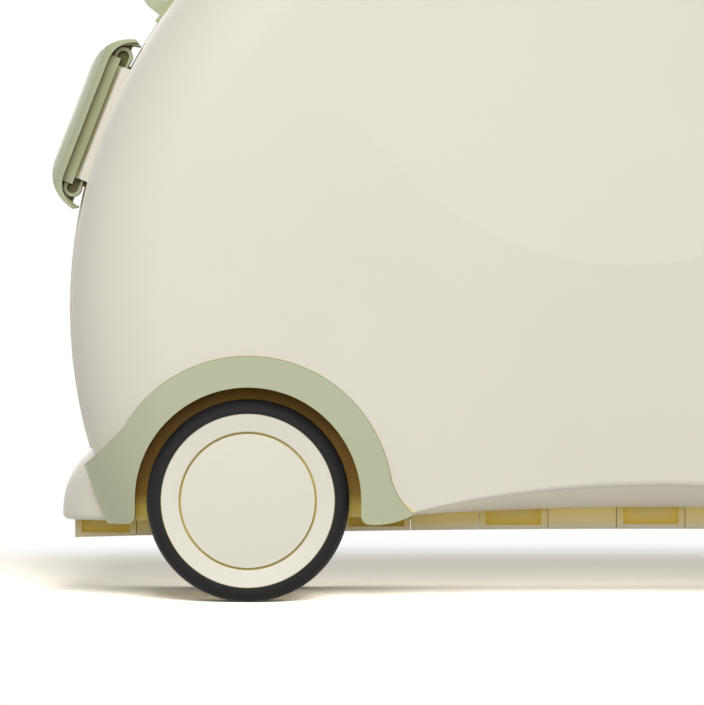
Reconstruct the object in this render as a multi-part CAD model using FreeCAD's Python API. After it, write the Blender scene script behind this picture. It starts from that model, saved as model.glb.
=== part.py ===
import FreeCAD, Part
import math
import os

from FreeCAD import Placement, Rotation, Vector

# Ride-on suitcase: two moulded halves on a bottom hinge, with four wheels, fenders, catches and handles.
# Millimetres. +X is the front, +Z is up, the halves part at y = 0 and the tyres stand on z = 0.

# Case
case_half_length = 233.0
case_half_width = 102.0
end_radius = 202.0
bulge_height = 117.0
corner_radius = 38.0
hump_radius = 59.0
hump_x = 118.0
saddle_height = 263.0
wall = 3.0
seam_gap = 0.4
skirt_z = 10.0

# Thigh scoop, a shallow ball-shaped hollow in each side
scoop_x = -12.0
scoop_low_z = 133.0
scoop_radius = 128.0
scoop_depth = 8.8

# Belly, which arches between the wheels and slopes up from the hinge to each side
belly_side_mid_z = 46.0
belly_side_end_z = 33.5
belly_hinge_mid_z = 35.8
belly_hinge_end_z = 32.0
belly_half = 106.0
belly_edge_half = 96.0
belly_edge_round = 2.5
belly_edge_least = 0.5

# Seam band and its seal
band_proud = 3.0
band_width = 7.0
band_foot_z = 56.0
band_round = 1.2
seal_width = 2.6
seal_depth = 2.0
seal_clearance = 0.2

# Bumper at each end
bumper_proud_x = 237.8
bumper_radius = 33.0
bumper_nose_z = 35.0
bumper_bottom_z = 31.5
bumper_edge_round = 2.5
bumper_flat_half = 30.0
bumper_corner_radius = 40.0

# Wheels
wheel_radius = 40.0
wheel_x = 162.4
tyre_width = 30.0
tyre_height = 5.6
tyre_shoulder = 4.5
wheel_inset = 2.0
rim_thickness = 4.0
rim_lip = 7.2
rim_lip_depth = 3.0
rim_dish = 1.6
rim_edge = 0.3
rim_shelf = 2.0
hub_radius = 10.0
web_thickness = 4.0
cap_thickness = 2.4
cap_crown = 0.8
cap_clearance = 0.8
cap_back_room = 1.4
axle_radius = 4.0
axle_collar_radius = 7.0
axle_collar_height = 1.5
axle_end_wall = 2.0
retainer_radius = 8.0
retainer_height = 2.0

# Clearances between pieces
running_clearance = 0.05
fixed_clearance = 0.03
side_clearance = 0.3

# Fenders
fender_gap = 4.7
fender_band = 12.3
fender_proud = 1.5
fender_thickness = 3.0
fender_clearance = 0.15
fender_lip_depth = 13.0
fender_lip_thickness = 2.0
fender_foot = 9.4
fender_foot_round = 3.6
fender_tail_reach = 8.6
fender_tail_drop = 5.2
fender_tail_angle = 10.0
fender_tail_belly = 0.6
fender_sweep_angles = (150.0, 157.0, 164.6)
fender_sweep_rises = (2.4, 7.0)
fender_runoff_slope = 0.8
fender_wrap_y = 70.0
fender_end_reach = 4.0

# Wheel wells
well_gap = 0.6
well_depth = 40.0
well_wall = 2.5
boss_radius = 9.0
boss_outer = 5.0
boss_inner = 10.0

# Fender screws
screw_radius = 1.5
screw_head_radius = 3.4
screw_head_height = 2.2
screw_angles = (25.0, 65.0, 105.0)

# Bottom hinge
knuckle_count = 17
knuckle_pitch = 27.85
knuckle_gap = 0.3
knuckle_half_width = 6.5
knuckle_round = 2.5
hinge_z = 33.0
hinge_half_length = 234.0
hinge_bottom_z = 26.8
hinge_bow = 3.4
hinge_pin_radius = 2.5
hinge_clearance = 0.4
hinge_base_half = 13.0
window_margin = 2.6
window_foot = 2.0
window_depth = 2.8

# Catches
catch_z = 190.0
catch_half_length = 37.0
catch_half_width = 24.0
catch_crown = 16.7
catch_wall = 2.2
catch_end_round = 18.5
catch_axis_y = 20.0
catch_axis_out = 9.0
catch_barrel_radius = 4.5
catch_barrel_half = 20.0
catch_lug_length = 6.0
catch_pin_radius = 1.5
catch_seat_gap = 0.5
catch_window_out = 10.2
catch_window_round = 11.0
catch_window_rim = 1.2
catch_edge_drop = 3.0
catch_tuck_out = 3.4
catch_tuck_slope = 0.66
hook_radius = 3.7
hook_out = 5.2
hook_half_length = 32.2
hook_near_y = -17.0
hook_far_y = -9.0
hook_wall = 1.4
hook_pocket = 5.0
hook_web_out = 5.8
hook_web_half_length = 27.3
hook_web_near_y = -18.0
keeper_height = 4.3
keeper_half_length = 24.3
keeper_near_y = -23.5
keeper_far_y = -18.5

# Rider grips
grip_x = 128.0
grip_y = 50.0
grip_lean_x = 0.12
grip_lean_y = 0.36
grip_length = 48.0
grip_base_radius = 21.0
grip_neck_radius = 12.5
grip_swell_radius = 15.5

# Carry handles
handle_half_length = 62.0
handle_arm_width = 11.0
handle_near_y = 14.0
handle_far_y = 41.0
handle_bar_width = 13.0
handle_thickness = 6.0
handle_play = 0.6
handle_pin_radius = 1.75
handle_pin_grip = 3.0
handle_barrel_radius = 3.0
handle_recess_edge = 8.0
handle_recess_round = 2.0

# Tow eyes
eye_z = 241.0
eye_y = 19.0
eye_thickness = 6.0
eye_radius = 10.0
eye_bore_radius = 5.0
eye_out = 8.0

# Packing straps in the left half
strap_width = 25.0
strap_thickness = 1.6
strap_y = 10.0
strap_low_z = 92.0
strap_high_z = 216.0
strap_end_gap = 0.2
buckle_size = 34.0
buckle_height = 5.0
buckle_round = 6.0

# Derived sizes
end_centre = Vector(case_half_length - end_radius, 0, bulge_height)
hump_centre = Vector(
    hump_x, 0, bulge_height + math.sqrt((end_radius - hump_radius) ** 2 - (hump_x - end_centre.x) ** 2)
)
saddle_rise = saddle_height - hump_centre.z
saddle_radius = (hump_x**2 + saddle_rise**2 - hump_radius**2) / (2 * (hump_radius - saddle_rise))
saddle_centre = Vector(0, 0, saddle_height + saddle_radius)
scoop_ball = (scoop_radius**2 + scoop_depth**2) / (2 * scoop_depth)
beyond = 20.0
wheel_z = wheel_radius
wheel_face_y = -(case_half_width + fender_proud - wheel_inset)
wheel_back_y = wheel_face_y + tyre_width
bead_radius = wheel_radius - tyre_height
cap_radius = bead_radius - rim_lip - cap_clearance
fender_inner = wheel_radius + fender_gap
fender_outer = fender_inner + fender_band
fender_depth = fender_thickness - fender_proud
well_radius = fender_inner + fender_lip_thickness + well_gap
well_floor_y = -(case_half_width - well_depth)
axle_end_y = well_floor_y + well_wall + boss_inner - axle_end_wall
collar_front_y = well_floor_y - boss_outer - axle_collar_height
hub_back_y = collar_front_y - side_clearance
cap_seat_y = wheel_face_y + rim_dish + cap_thickness
hub_front_y = cap_seat_y + cap_back_room + retainer_height + 2 * side_clearance
hinge_reach = math.hypot(knuckle_half_width, hinge_z - hinge_bottom_z + hinge_bow)
hinge_base_top = hinge_z + hinge_reach + hinge_clearance + wall
handle_pivot_x = handle_half_length - handle_arm_width / 2
handle_recess_depth = handle_thickness + 2 * handle_play
inner_skin_y = -(case_half_width - wall)


def line(start, end):
    return Part.LineSegment(start, end).toShape()


def arc(start, middle, end):
    return Part.Arc(start, middle, end).toShape()


def unit(vector):
    return vector / vector.Length


def box(x0, x1, y0, y1, z0, z1):
    return Part.makeBox(x1 - x0, y1 - y0, z1 - z0, Vector(x0, y0, z0))


def rod_x(radius, x0, x1, y, z):
    return Part.makeCylinder(radius, x1 - x0, Vector(x0, y, z), Vector(1, 0, 0))


def rod_y(radius, y0, y1, x, z):
    return Part.makeCylinder(radius, y1 - y0, Vector(x, y0, z), Vector(0, 1, 0))


def rod_z(radius, z0, z1, x, y):
    return Part.makeCylinder(radius, z1 - z0, Vector(x, y, z0), Vector(0, 0, 1))


def prism_y(edges, y0, y1):
    """A side outline at y = 0, carried along Y from y0 to y1."""
    face = Part.Face(Part.Wire(edges))
    face.translate(Vector(0, y0, 0))
    return face.extrude(Vector(0, y1 - y0, 0))


def flip_x(shape):
    return shape.mirror(Vector(0, 0, 0), Vector(1, 0, 0))


def flip_y(shape):
    return shape.mirror(Vector(0, 0, 0), Vector(0, 1, 0))


def both_ends(shape):
    return [shape, flip_x(shape)]


def join(shapes):
    return shapes[0].multiFuse(shapes[1:]) if len(shapes) > 1 else shapes[0]


def solid_only(shape):
    """The largest solid, which drops any crumb that a cut has left."""
    return max(shape.Solids, key=lambda solid: solid.Volume)


def rounded_plan(x0, x1, y0, y1, radius, z0, z1):
    """A rounded rectangle in plan, carried from z0 to z1."""
    block = box(x0, x1, y0, y1, z0, z1)
    uprights = [edge for edge in block.Edges if abs(edge.Vertexes[0].Z - edge.Vertexes[1].Z) > 1]
    return block.makeFillet(radius, uprights)


# Case forms
def case_outline(grow):
    """Side outline of the case: bulged ends, two humps and the saddle between them, grown outward."""
    end = end_radius + grow
    hump = hump_radius + grow
    saddle = saddle_radius - grow
    to_hump = unit(hump_centre - end_centre)
    to_saddle = unit(saddle_centre - hump_centre)
    foot = Vector(end_centre.x + math.sqrt(end**2 - (bulge_height - skirt_z) ** 2), 0, skirt_z)
    nose = end_centre + Vector(end, 0, 0)
    shoulder = end_centre + to_hump * end
    crest = hump_centre + unit(to_hump + to_saddle) * hump
    dip = hump_centre + to_saddle * hump
    low = saddle_centre - Vector(0, 0, saddle)

    def back(point):
        return Vector(-point.x, 0, point.z)

    return [
        arc(foot, nose, shoulder),
        arc(shoulder, crest, dip),
        arc(dip, low, back(dip)),
        arc(back(dip), back(crest), back(shoulder)),
        arc(back(shoulder), back(nose), back(foot)),
        line(back(foot), foot),
    ]


def case_prism(grow, y0, y1):
    return prism_y(case_outline(grow), y0, y1)


def half_case(grow):
    """One half of the case as a full block: rounded round its side face, with the thigh scoop."""
    side_y = -(case_half_width + grow)
    block = case_prism(grow, 0, side_y)
    rounded = [
        edge
        for edge in block.Edges
        if all(abs(v.Y - side_y) < 0.01 for v in edge.Vertexes)
        and not all(abs(v.Z - skirt_z) < 0.01 for v in edge.Vertexes)
    ]
    block = block.makeFillet(corner_radius + grow, rounded)
    ball_centre = Vector(scoop_x, -(case_half_width + scoop_ball - scoop_depth), scoop_low_z + scoop_radius)
    return block.cut(Part.makeSphere(scoop_ball - grow, ball_centre))


def arched_z(x, middle_z, end_z):
    """Height at x of an arch over the belly's length, from its heights at the middle and at the ends."""
    drop = middle_z - end_z
    radius = (belly_half**2 + drop**2) / (2 * drop)
    return middle_z - radius + math.sqrt(radius**2 - x**2)


def below_arch(y, middle_z, end_z):
    """Outline, at one y, of all that lies below the belly."""
    far = case_half_length + beyond
    low = skirt_z - beyond
    left = Vector(-belly_half, y, end_z)
    right = Vector(belly_half, y, end_z)
    edges = [
        line(Vector(-far, y, low), Vector(-far, y, end_z)),
        line(Vector(-far, y, end_z), left),
        arc(left, Vector(0, y, middle_z), right),
        line(right, Vector(far, y, end_z)),
        line(Vector(far, y, end_z), Vector(far, y, low)),
        line(Vector(far, y, low), Vector(-far, y, low)),
    ]
    return Part.Wire(edges)


def under_belly(lift):
    """All that lies below the belly: sloped from the hinge's base to past the side, level at the base."""
    outward = beyond / (case_half_width - hinge_base_half)
    outer_mid_z = belly_side_mid_z + (belly_side_mid_z - belly_hinge_mid_z) * outward
    outer_end_z = belly_side_end_z + (belly_side_end_z - belly_hinge_end_z) * outward
    outer = below_arch(-(case_half_width + beyond), outer_mid_z + lift, outer_end_z + lift)
    inner = below_arch(-hinge_base_half, belly_hinge_mid_z + lift, belly_hinge_end_z + lift)
    sloped = Part.makeLoft([outer, inner], True, True)
    level = Part.Face(inner).extrude(Vector(0, hinge_base_half + beyond, 0))
    return sloped.fuse(level)


def belly_edge_cutter():
    """What the soft lower edge takes off: a rounding under the side that fades towards the wheels."""
    side_y = -case_half_width
    outward = Vector(0, -1, 0)
    sections = []
    steps = 8
    for step in range(steps + 1):
        share = 2 * step / steps - 1
        x = share * belly_edge_half
        radius = belly_edge_least + (belly_edge_round - belly_edge_least) * (1 - share**2)
        edge_z = arched_z(x, belly_side_mid_z, belly_side_end_z)
        inner_z = arched_z(x, belly_hinge_mid_z, belly_hinge_end_z)
        slope = math.atan2(edge_z - inner_z, case_half_width - hinge_base_half)
        downward = Vector(0, -math.sin(slope), -math.cos(slope))
        centre = Vector(x, side_y + radius, edge_z - radius * math.tan(slope) + radius / math.cos(slope))
        high = centre + outward * radius
        under = centre + downward * radius
        middle = centre + unit(outward + downward) * radius
        corner = Vector(x, side_y - belly_edge_round, edge_z - belly_edge_round)
        outer_high = Vector(x, corner.y, high.z)
        outer_low = Vector(x, under.y, corner.z)
        sections.append(
            Part.Wire(
                [
                    line(outer_high, high),
                    arc(high, middle, under),
                    line(under, outer_low),
                    line(outer_low, corner),
                    line(corner, outer_high),
                ]
            )
        )
    return Part.makeLoft(sections, True)


def bumper(grow):
    """Rear bumper of one half: a quarter-round nose carried across the end and round the corner."""
    axis_x = -(bumper_proud_x - bumper_corner_radius)
    nose_x = -(bumper_proud_x + grow)
    bottom = bumper_bottom_z - grow
    centre_x = -(bumper_proud_x - bumper_radius)
    radius = bumper_radius + grow
    edge = bumper_edge_round
    slant = edge * (1 - math.sqrt(0.5))
    profile = [
        line(Vector(axis_x, 0, bottom), Vector(nose_x + edge, 0, bottom)),
        arc(
            Vector(nose_x + edge, 0, bottom),
            Vector(nose_x + slant, 0, bottom + slant),
            Vector(nose_x, 0, bottom + edge),
        ),
        line(Vector(nose_x, 0, bottom + edge), Vector(nose_x, 0, bumper_nose_z)),
        arc(
            Vector(nose_x, 0, bumper_nose_z),
            Vector(centre_x - radius * math.sqrt(0.5), 0, bumper_nose_z + radius * math.sqrt(0.5)),
            Vector(centre_x, 0, bumper_nose_z + radius),
        ),
        line(Vector(centre_x, 0, bumper_nose_z + radius), Vector(axis_x, 0, bumper_nose_z + radius)),
        line(Vector(axis_x, 0, bumper_nose_z + radius), Vector(axis_x, 0, bottom)),
    ]
    straight = prism_y(profile, 0, -bumper_flat_half)
    face = Part.Face(Part.Wire(profile))
    face.translate(Vector(0, -bumper_flat_half, 0))
    corner = face.revolve(Vector(axis_x, -bumper_flat_half, 0), Vector(0, 0, 1), 90)
    return straight.fuse(corner).removeSplitter()


def seam_band():
    band = case_prism(band_proud, 0, -band_width)
    edges = [
        edge
        for edge in band.Edges
        if all(abs(v.Y + band_width) < 0.01 for v in edge.Vertexes)
        and not all(abs(v.Z - skirt_z) < 0.01 for v in edge.Vertexes)
    ]
    band = band.makeFillet(band_round, edges)
    far = case_half_length + beyond
    return band.cut(box(-far, far, -case_half_width, beyond, skirt_z - beyond, band_foot_z))


# Wheel well and fender
def fender_outline(grow):
    """Rear fender's side outline: an arch with a swept tail inboard and one that runs off round the end."""
    hub = Vector(-wheel_x, 0, wheel_z)
    inner = fender_inner - grow
    outer = fender_outer + grow
    foot = fender_foot + grow
    turn = fender_foot_round

    def at(x, z):
        return hub + Vector(x, 0, z)

    def polar(radius, degrees):
        return at(radius * math.cos(math.radians(degrees)), radius * math.sin(math.radians(degrees)))

    tail_start = polar(outer, fender_tail_angle)
    tail_end = at(outer + fender_tail_reach, -fender_tail_drop)
    tail_middle_x = (inner + turn + outer + fender_tail_reach) / 2
    sweep_start = polar(outer, fender_sweep_angles[0])
    sweep_middle = polar(outer + fender_sweep_rises[0], fender_sweep_angles[1])
    sweep_end = polar(outer + fender_sweep_rises[1], fender_sweep_angles[2])
    end_x = -(case_half_length + beyond - wheel_x)
    runoff = at(end_x, sweep_end.z - wheel_z + fender_runoff_slope * (end_x - (sweep_end.x + wheel_x)))
    corner = turn * (1 - math.sqrt(0.5))
    return [
        line(at(-inner, turn - foot), at(-inner, 0)),
        arc(at(-inner, 0), at(0, inner), at(inner, 0)),
        line(at(inner, 0), at(inner, turn - foot)),
        arc(at(inner, turn - foot), at(inner + corner, corner - foot), at(inner + turn, -foot)),
        arc(
            at(inner + turn, -foot),
            at(tail_middle_x, -(foot * 2 + fender_tail_drop) / 3 - fender_tail_belly),
            tail_end,
        ),
        arc(tail_end, at(outer + fender_tail_reach / 4, fender_tail_drop * 3 / 8), tail_start),
        arc(tail_start, polar(outer, 80), sweep_start),
        arc(sweep_start, sweep_middle, sweep_end),
        line(sweep_end, runoff),
        line(runoff, at(end_x, -foot)),
        line(at(end_x, -foot), at(-inner - turn, -foot)),
        arc(at(-inner - turn, -foot), at(-inner - corner, corner - foot), at(-inner, turn - foot)),
    ]


def fender_lip():
    """The arch's return: a thin wall behind the fender's inner edge, straight below the hub."""

    def arch(radius):
        hub = Vector(-wheel_x, 0, wheel_z)
        right = hub + Vector(radius, 0, 0)
        left = hub - Vector(radius, 0, 0)
        down = Vector(0, 0, fender_foot - fender_foot_round)
        return [
            line(left - down, left),
            arc(left, hub + Vector(0, 0, radius), right),
            line(right, right - down),
            line(right - down, left - down),
        ]

    front_y = -(case_half_width + fender_proud - fender_thickness)
    back_y = front_y + fender_lip_depth
    outer = prism_y(arch(fender_inner + fender_lip_thickness), front_y, back_y)
    return outer.cut(prism_y(arch(fender_inner), front_y - beyond, back_y + beyond))


def wheel_well(grow):
    """The space of a rear wheel, open below; grown, it is the housing round that space."""
    radius = well_radius + grow
    back_y = well_floor_y + grow
    front_y = -(case_half_width + beyond)
    top = rod_y(radius, front_y, back_y, -wheel_x, wheel_z)
    return top.fuse(box(-wheel_x - radius, -wheel_x + radius, front_y, back_y, skirt_z - beyond, wheel_z))


def axle_boss():
    back_y = well_floor_y + well_wall + boss_inner
    return rod_y(boss_radius, well_floor_y - boss_outer, back_y, -wheel_x, wheel_z)


def screw_places():
    """Centres of a rear fender's screws in the side view."""
    reach = fender_outer - screw_head_radius
    return [
        (-wheel_x + reach * math.cos(math.radians(a)), wheel_z + reach * math.sin(math.radians(a)))
        for a in screw_angles
    ]


def rear_fender(skin_out, skin_in, bumper_clear):
    side = prism_y(fender_outline(0), -fender_wrap_y, -(case_half_width + beyond))
    end_skin = skin_out.copy()
    end_skin.translate(Vector(-fender_end_reach, 0, 0))
    ahead = box(-wheel_x, 0, -(case_half_width + beyond), 0, skirt_z - beyond, case_half_length)

    def trimmed(shape):
        """A shape within the fender's outside, which stands further out behind the wheel."""
        return shape.common(ahead).common(skin_out).fuse(shape.cut(ahead).common(end_skin))

    fender = trimmed(side).cut(skin_in).fuse(trimmed(fender_lip())).cut(bumper_clear).removeSplitter()
    tip_y = -(case_half_width + fender_proud / 2)
    for x, z in screw_places():
        fender = fender.cut(rod_y(screw_radius + fixed_clearance, tip_y, inner_skin_y, x, z))
    return solid_only(fender)


def rear_screws():
    tip_y = -(case_half_width + fender_proud / 2) + fixed_clearance
    screws = []
    for x, z in screw_places():
        head = rod_y(screw_head_radius, inner_skin_y, inner_skin_y + screw_head_height, x, z)
        screws.append(head.fuse(rod_y(screw_radius, tip_y, inner_skin_y, x, z)))
    return screws


# Carry handle
def saddle_layer(top, bottom, y0, y1):
    """A layer that follows the saddle, from one depth below it to another."""
    return case_prism(-top, y0, y1).cut(case_prism(-bottom, y0 + beyond, y1 - beyond))


def saddle_z(x):
    return saddle_centre.z - math.sqrt(saddle_radius**2 - x**2)


handle_pivot_z = saddle_z(handle_pivot_x) - handle_play - handle_thickness / 2


def handle_recess(grow):
    """Recess of the right carry handle, cut down from the saddle; grown, it is the housing round it."""
    half = handle_half_length + handle_play + grow
    near = -(handle_recess_edge - grow)
    far = -(handle_far_y + handle_play + grow)
    top = hump_centre.z + hump_radius
    plan = rounded_plan(-half, half, far, near, handle_recess_round + grow, bulge_height, top)
    recess = plan.cut(case_prism(-handle_recess_depth - grow, beyond, -case_half_width))
    radius = handle_barrel_radius + handle_play + grow
    for side in (-1, 1):
        middle = side * handle_pivot_x
        reach = handle_arm_width / 2 + handle_play + grow
        pocket = rod_x(radius, middle - reach, middle + reach, -handle_near_y, handle_pivot_z)
        recess = recess.fuse(pocket)
    return recess


def handle_pin_rods(radius):
    inner = handle_half_length - handle_arm_width
    outer = handle_half_length + handle_play + handle_pin_grip
    rod = rod_x(radius, -outer, -inner, -handle_near_y, handle_pivot_z)
    return both_ends(rod)


def carry_handle():
    """Right carry handle: a flat bail curved like the saddle, on two barrels."""
    top = hump_centre.z + hump_radius
    half = handle_half_length
    far = -handle_far_y
    outer_round = handle_bar_width / 2
    outer = rounded_plan(-half, half, far, half - handle_near_y, outer_round, bulge_height, top)
    inner_half = half - handle_arm_width
    inner_far = far + handle_bar_width
    inner_round = handle_bar_width / 3
    inner = rounded_plan(-inner_half, inner_half, inner_far, half + beyond, inner_round, bulge_height, top)
    plan = outer.cut(inner).cut(box(-half, half, -handle_near_y, half, bulge_height, top))
    layer = saddle_layer(handle_play, handle_play + handle_thickness, 0, -case_half_width)
    bail = plan.common(layer)
    for side in (-1, 1):
        middle = side * handle_pivot_x
        reach = handle_arm_width / 2
        barrel = rod_x(handle_barrel_radius, middle - reach, middle + reach, -handle_near_y, handle_pivot_z)
        bail = bail.fuse(barrel)
    return bail.cut(join(handle_pin_rods(handle_pin_radius + running_clearance)))


# Parts on the case's end, made upright round the origin with -X outward and then leaned to the end's slope
def on_rear_end(shape, height):
    """Stands a piece on the rear end at a height, leaned with the end's curve."""
    lean = math.asin((height - bulge_height) / end_radius)
    out = Vector(-math.cos(lean), 0, math.sin(lean))
    place = Vector(-end_centre.x, 0, end_centre.z) + out * end_radius
    shape.Placement = Placement(place, Rotation(Vector(0, 1, 0), math.degrees(lean)))
    return shape


def plan_prism(edges, half_height):
    face = Part.Face(Part.Wire(edges))
    face.translate(Vector(0, 0, -half_height))
    return face.extrude(Vector(0, 0, 2 * half_height))


def round_ended(top, half, turn):
    """A catch's side profile: level along its top, rounded down at both ends, footed inside the case."""
    foot = catch_crown / 2
    slant = turn * (1 - math.sqrt(0.5))

    def ends(sign):
        low = Vector(turn - top, 0, sign * half)
        middle = Vector(slant - top, 0, sign * (half - slant))
        high = Vector(-top, 0, sign * (half - turn))
        return low, middle, high

    up_low, up_middle, up_high = ends(1)
    down_low, down_middle, down_high = ends(-1)
    return [
        line(Vector(foot, 0, -half), down_low),
        arc(down_low, down_middle, down_high),
        line(down_high, up_high),
        arc(up_high, up_middle, up_low),
        line(up_low, Vector(foot, 0, half)),
        line(Vector(foot, 0, half), Vector(foot, 0, -half)),
    ]


def catch_cover(inset):
    """The catch's domed block: a crowned plan section and a side profile with rounded ends, crossed."""
    foot = catch_crown / 2
    hinge_y = catch_axis_y - (catch_barrel_radius + inset / 4 if inset else 0)
    free_y = -(catch_half_width - inset)
    crown = catch_crown - inset
    shoulder = catch_axis_out + catch_barrel_radius - inset
    edge_out = catch_axis_out - catch_edge_drop - inset / 4
    side_y = free_y + catch_half_width / 4
    hinge_top = Vector(-shoulder, hinge_y, 0)
    free_top = Vector(-shoulder, side_y, 0)
    bend = Vector(-(shoulder * 3 + edge_out) / 4, (free_y * 3 + side_y) / 4, 0)
    free_edge = Vector(-edge_out, free_y, 0)
    section = [
        line(Vector(foot, hinge_y, 0), hinge_top),
        arc(hinge_top, Vector(-crown, (hinge_y + side_y) / 2, 0), free_top),
        arc(free_top, bend, free_edge),
        line(free_edge, Vector(foot, free_y, 0)),
        line(Vector(foot, free_y, 0), Vector(foot, hinge_y, 0)),
    ]
    half = catch_half_length - inset
    profile = round_ended(crown, half, catch_end_round - inset)
    return plan_prism(section, half).common(prism_y(profile, -catch_half_width, catch_half_width))


def catch_window():
    """The cover's open near side, which lets the keeper in."""
    profile = round_ended(catch_window_out, catch_half_length - catch_window_rim, catch_window_round)
    return prism_y(profile, -catch_half_width - beyond, -catch_half_width + 2 * catch_wall)


def catch_hook():
    """The hook inside the cover: a bar with hollow round ends, a web up to the crown and a back wall."""

    def bar(radius, y0, y1):
        half = hook_half_length - hook_radius
        middle = box(-hook_out - radius, -hook_out + radius, y0, y1, -half, half)
        ends = [rod_y(radius, y0, y1, -hook_out, sign * half) for sign in (-1, 1)]
        return middle.multiFuse(ends)

    pocket = bar(hook_radius - hook_wall, hook_near_y, hook_near_y + hook_pocket)
    between = box(-catch_crown, 0, hook_near_y, hook_far_y, -keeper_half_length, keeper_half_length)
    top = -catch_crown + catch_wall / 2
    half = hook_web_half_length
    web = box(top, -hook_web_out, hook_web_near_y, hook_far_y, -half, half)
    foot = -band_proud - catch_seat_gap
    back_wall = box(top, foot, hook_far_y - catch_wall, hook_far_y, -catch_half_length, catch_half_length)
    hook = bar(hook_radius, hook_near_y, hook_far_y).cut(pocket.cut(between))
    return hook.fuse(web).fuse(back_wall).common(catch_cover(0))


def catch_tuck(sign):
    """The wedge that turns a catch's end in towards the case."""
    foot = catch_crown / 2
    start = Vector(-catch_tuck_out, 0, sign * catch_half_length)
    inside = Vector(foot, 0, sign * (catch_half_length - catch_tuck_slope * (foot + catch_tuck_out)))
    corner = Vector(foot, 0, sign * catch_half_length)
    profile = [line(start, inside), line(inside, corner), line(corner, start)]
    return prism_y(profile, -catch_half_width - beyond, catch_half_width + beyond)


def rear_catch(clear_band):
    cover = catch_cover(0).cut(catch_cover(catch_wall))
    barrel = rod_z(catch_barrel_radius, -catch_barrel_half, catch_barrel_half, -catch_axis_out, catch_axis_y)
    cover = cover.cut(catch_window()).fuse(catch_hook())
    barrel_foot = catch_barrel_radius - catch_axis_out
    cover = cover.cut(box(barrel_foot, beyond, 0, catch_half_width, -catch_half_length, catch_half_length))
    cover = cover.cut(catch_tuck(-1)).cut(catch_tuck(1)).fuse(barrel)
    for sign in (-1, 1):
        low = catch_barrel_half
        high = catch_barrel_half + catch_lug_length + 2 * side_clearance
        z0, z1 = sorted((sign * low, sign * high))
        room = catch_barrel_radius + 2 * side_clearance
        cover = cover.cut(rod_z(room, z0, z1, -catch_axis_out, catch_axis_y))
        cover = cover.cut(box(-catch_axis_out, beyond, catch_axis_y - room, catch_axis_y + room, z0, z1))
    bore = catch_pin_radius + running_clearance
    cover = cover.cut(rod_z(bore, -catch_barrel_half, catch_barrel_half, -catch_axis_out, catch_axis_y))
    cover = on_rear_end(cover, catch_z)
    return solid_only(cover.cut(clear_band))


def rear_catch_lugs():
    """Two towers on the left half that carry the catch's pin."""
    lugs = []
    for sign in (-1, 1):
        low = catch_barrel_half + side_clearance
        high = low + catch_lug_length
        z0, z1 = sorted((sign * low, sign * high))
        radius = catch_barrel_radius
        tower = box(-catch_axis_out, wall, catch_axis_y - radius, catch_axis_y + radius, z0, z1)
        lugs.append(tower.fuse(rod_z(radius, z0, z1, -catch_axis_out, catch_axis_y)))
    return on_rear_end(join(lugs), catch_z)


def rear_catch_rod(radius):
    half = catch_barrel_half + side_clearance + catch_lug_length
    return on_rear_end(rod_z(radius, -half, half, -catch_axis_out, catch_axis_y), catch_z)


def rear_keeper(clear_case):
    """The keeper that the hook goes behind, set on the right half beside the seam."""
    block = box(-keeper_height, wall, keeper_near_y, keeper_far_y, -keeper_half_length, keeper_half_length)
    tops = [
        edge
        for edge in block.Edges
        if all(abs(v.X + keeper_height) < 0.01 for v in edge.Vertexes)
    ]
    return solid_only(on_rear_end(block.makeFillet(wall / 2, tops), catch_z).cut(clear_case))


def rear_tow_eye(clear_case):
    """A round eye on a foot, for a tow strap's clip."""
    y0 = -eye_y - eye_thickness / 2
    y1 = y0 + eye_thickness
    eye = rod_y(eye_radius, y0, y1, -eye_out, 0)
    foot = box(-eye_out, beyond, y0, y1, -eye_radius, eye_radius)
    base = box(-wall, beyond, y0 - wall, y1 + wall, -eye_radius - wall, eye_radius + wall)
    eye = eye.fuse(foot).fuse(base)
    eye = eye.cut(rod_y(eye_bore_radius, y0, y1, -eye_out, 0))
    return solid_only(on_rear_end(eye, eye_z).cut(clear_case))


# Wheels, made about the axle of the rear right wheel
def spun(points, x, z):
    """A closed profile of (radius, y) points spun about an axle along Y."""
    corners = [Vector(x + radius, y, z) for radius, y in points]
    edges = [line(a, b) for a, b in zip(corners, corners[1:] + corners[:1])]
    return Part.Face(Part.Wire(edges)).revolve(Vector(x, 0, z), Vector(0, 1, 0), 360)


def tyre():
    x, z = -wheel_x, wheel_z
    low = bead_radius
    high = wheel_radius
    front = wheel_face_y
    back = wheel_back_y
    turn = tyre_shoulder
    slant = turn * (1 - math.sqrt(0.5))

    def at(radius, y):
        return Vector(x + radius, y, z)

    edges = [
        line(at(low, front), at(high - turn, front)),
        arc(at(high - turn, front), at(high - slant, front + slant), at(high, front + turn)),
        line(at(high, front + turn), at(high, back - turn)),
        arc(at(high, back - turn), at(high - slant, back - slant), at(high - turn, back)),
        line(at(high - turn, back), at(low, back)),
        line(at(low, back), at(low, front)),
    ]
    return Part.Face(Part.Wire(edges)).revolve(Vector(x, 0, z), Vector(0, 1, 0), 360)


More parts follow.
